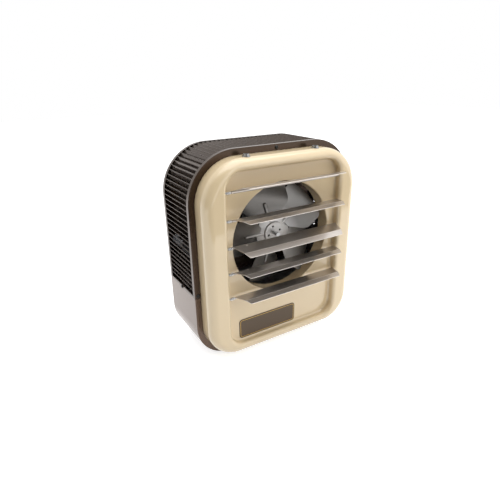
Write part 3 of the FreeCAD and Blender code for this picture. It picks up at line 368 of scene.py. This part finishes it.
def screw_slots():
    """Driver slots across the flat tops of the screw heads, as thin near-black strips: painted shade of
    each slot's hollow.
    """
    front, back, head = CASE_FRONT, -CASE_FRONT, SCREW_HEAD
    flange_inset, back_inset, cover_rise = 6.5, 6.0, 2.7
    flange_turn, cover_turn, back_turn = 40, 65, 20
    half_length, half_depth, half_width = 1.9, 0.05, 0.35
    flange_x, back_x, seam_z = CASE_HALF - flange_inset, CASE_HALF - back_inset, SEAM + flange_inset
    spots = []
    for x, z in ((0, CASE_TOP - flange_inset), (0, flange_inset), (-flange_x, seam_z), (flange_x, seam_z)):
        spots.append((Vector((x, front - head, z)), -AXIS_Y, flange_turn))
    for side in (-1, 1):
        spots.append((Vector((side * (CASE_HALF + head), 0, SEAM + cover_rise)), side * AXIS_X, cover_turn))
    for x, z in ((0, CASE_TOP - back_inset), (0, back_inset), (-back_x, FAN_Z), (back_x, FAN_Z)):
        spots.append((Vector((x, back + head, z)), AXIS_Y, back_turn))

    def build(bm):
        for spot, outward, turn in spots:
            up = AXIS_Z
            side = up.cross(outward)
            angle = math.radians(turn)
            for quarter in (0, math.pi / 2):
                along = side * math.cos(angle + quarter) + up * math.sin(angle + quarter)
                axes = (along, outward, outward.cross(along))
                add_box(bm, spot, axes, (half_length, half_depth, half_width))
        bmesh.ops.recalc_face_normals(bm, faces=bm.faces)

    piece("screw_recesses", mesh_from("screw_recesses", build), SLOT_SHADE, "casing")


def nut_threads():
    """Ridges of the thread down each hanger nut's bore, coloured near-black: painted shade of the bore."""
    low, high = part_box("hanger_nuts")
    y = (low.y + high.y) / 2
    turns, sides, pitch, outer, inner = 8, 20, 1.4 * MM, 3.28 * MM, 2.85 * MM
    flange_radius, set_down = 7.5 * MM, 0.4 * MM

    def build(bm):
        for x in (low.x + flange_radius, high.x - flange_radius):
            rings = []
            for step in range(2 * turns + 1):
                radius = inner if step % 2 else outer
                z = high.z - set_down - step * pitch / 2
                rings.append([
                    bm.verts.new((
                        x + radius * math.cos(2 * math.pi * k / sides),
                        y + radius * math.sin(2 * math.pi * k / sides), z))
                    for k in range(sides)
                ])
            for upper, lower in zip(rings, rings[1:]):
                for k in range(sides):
                    n = (k + 1) % sides
                    bm.faces.new((upper[k], upper[n], lower[n], lower[k]))

    piece("nut_threads", mesh_from("nut_threads", build), THREAD_SHADE, "casing")


def louver_edge(number, tilt):
    """Bend radius along one louver's crease, and its front edge, as tubes of paler metal: the rounding
    catches the lamps, and the paler colour is a painted highlight.
    """
    chord, lip, bend, hem = 28.0, 12.0, math.radians(20.0), 2.32
    crease_sink, crease_inset, crease_radius = 0.45, 8.5, 0.52
    edge_back, edge_sink, edge_inset, edge_radius = 0.3, 0.38, 14.5, 0.46
    edge_y, edge_z = -chord - lip * math.cos(bend) + edge_back, hem - lip * math.sin(bend) - edge_sink
    lines = (
        (-chord, hem - crease_sink, crease_inset, crease_radius),
        (edge_y, edge_z, edge_inset, edge_radius),
    )
    low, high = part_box("louver_blade_%d" % number)
    angle = math.radians(tilt)
    pivot_z = FAN_Z + LOUVER_RISE + (3 - number) * LOUVER_PITCH

    def build(bm):
        for y, z, inset, radius in lines:
            spot_y = PIVOT_Y + y * math.cos(angle) - z * math.sin(angle)
            spot_z = pivot_z + y * math.sin(angle) + z * math.cos(angle)
            left, right = low.x / MM + inset, high.x / MM - inset
            add_tube(bm, (left, spot_y, spot_z), (right, spot_y, spot_z), (AXIS_Y, AXIS_Z), radius)

    name = "louver_edge_%d" % number
    piece(name, mesh_from(name, build), EDGE_HIGHLIGHT, "louver_%d" % number)


plate_border()
slat_edges()
for number, tilt in enumerate(LOUVER_TILTS, start=1):
    louver_edge(number, tilt)
fine_fins()
screw_slots()
nut_threads()


# Floor, light and camera
def floor_material():
    """White floor that keeps its shadow and looks pale to the camera, in metal and through glass."""
    colour, strength = (0.82, 0.82, 0.82, 1.0), 0.72
    mat = bpy.data.materials.new("floor")
    mat.use_nodes = True
    tree = mat.node_tree
    tree.nodes.clear()
    diffuse = tree.nodes.new("ShaderNodeBsdfDiffuse")
    diffuse.inputs["Color"].default_value = colour
    glow = tree.nodes.new("ShaderNodeEmission")
    glow.inputs["Color"].default_value = (1.0, 1.0, 1.0, 1.0)
    both = tree.nodes.new("ShaderNodeAddShader")
    path = tree.nodes.new("ShaderNodeLightPath")
    seen = path.outputs["Is Camera Ray"]
    for ray in ("Is Glossy Ray", "Is Transmission Ray"):
        either = tree.nodes.new("ShaderNodeMath")
        either.operation = "MAXIMUM"
        tree.links.new(seen, either.inputs[0])
        tree.links.new(path.outputs[ray], either.inputs[1])
        seen = either.outputs[0]
    level = tree.nodes.new("ShaderNodeMath")
    level.operation = "MULTIPLY"
    level.inputs[1].default_value = strength
    out = tree.nodes.new("ShaderNodeOutputMaterial")
    tree.links.new(seen, level.inputs[0])
    tree.links.new(level.outputs[0], glow.inputs["Strength"])
    tree.links.new(diffuse.outputs[0], both.inputs[0])
    tree.links.new(glow.outputs[0], both.inputs[1])
    tree.links.new(both.outputs[0], out.inputs["Surface"])
    return mat


bpy.ops.mesh.primitive_plane_add(size=12.0, location=(0, 0, 0))
floor = bpy.context.object
floor.name = "floor"
floor.data.materials.append(floor_material())

world = bpy.data.worlds.new("studio")
scene.world = world
world.use_nodes = True
back = world.node_tree.nodes["Background"]
back.inputs["Color"].default_value = (1.0, 1.0, 1.0, 1.0)
back.inputs["Strength"].default_value = 1.0

FLAG_CLOTH = material("flag_cloth", (0.02, 0.02, 0.02), 0.9, specular=0.1)


def dark_flag(name, place, facing, size):
    """Black studio card behind or below the camera, which the camera itself doesn't see."""
    bpy.ops.mesh.primitive_plane_add(size=1.0, location=place)
    flag = bpy.context.object
    flag.name = name
    flag.scale = (*size, 1.0)
    flag.rotation_euler = Vector(facing).to_track_quat("Z", "Y").to_euler()
    flag.visible_camera = False
    flag.data.materials.append(FLAG_CLOTH)
    return flag


dark_flag("left_flag", (-1.05, -1.4, 1.15), (0.6, 0.8, 0.0), (3.4, 2.3))
# The front flag is seen only in reflections: it casts no shadow and diffuse light passes it, so it paints a
# dark reflection into metal and gloss.
front_flag = dark_flag("front_flag", (0.35, -1.13, 0.002), (0.0, 0.0, 1.0), (2.4, 0.78))
front_flag.visible_diffuse = False
front_flag.visible_shadow = False


def softbox(name, place, target, size, watts, colour=(1.0, 1.0, 1.0)):
    lamp = bpy.data.lights.new(name, "AREA")
    lamp.shape = "RECTANGLE"
    lamp.size, lamp.size_y = size
    lamp.energy = watts
    lamp.color = colour
    obj = bpy.data.objects.new(name, lamp)
    scene.collection.objects.link(obj)
    obj.location = place
    obj.rotation_euler = (Vector(target) - Vector(place)).to_track_quat("-Z", "Y").to_euler()
    return obj


softbox("top_light", (0.2, -0.2, 2.3), (0, 0, 0.2), (2.3, 2.0), 33.0, (0.95, 0.97, 1.0))
softbox("right_light", (0.9, -1.1, 0.9), (0, -0.08, 0.25), (1.7, 1.6), 4.0)
softbox("front_light", (0.47, -2.1, 0.96), (0.05, -0.06, 0.28), (1.8, 1.4), 7.0, (0.9, 0.94, 1.0))

CAMERA_PLACE, CAMERA_LENS = Vector((-0.4377, -0.6941, 0.5197)), 29.83
CAMERA_TILT, CAMERA_ROLL, CAMERA_PAN = 67.28, 1.00, -31.20
camera_data = bpy.data.cameras.new("camera")
camera_data.sensor_fit = "HORIZONTAL"
camera_data.sensor_width = 36.0
camera_data.lens = CAMERA_LENS
camera_data.clip_start = 0.01
camera = bpy.data.objects.new("camera", camera_data)
scene.collection.objects.link(camera)
camera_turn = Euler([math.radians(turn) for turn in (CAMERA_TILT, CAMERA_ROLL, CAMERA_PAN)])
camera.matrix_world = Matrix.LocRotScale(CAMERA_PLACE, camera_turn, None)
scene.camera = camera

scene.view_settings.view_transform = "Standard"
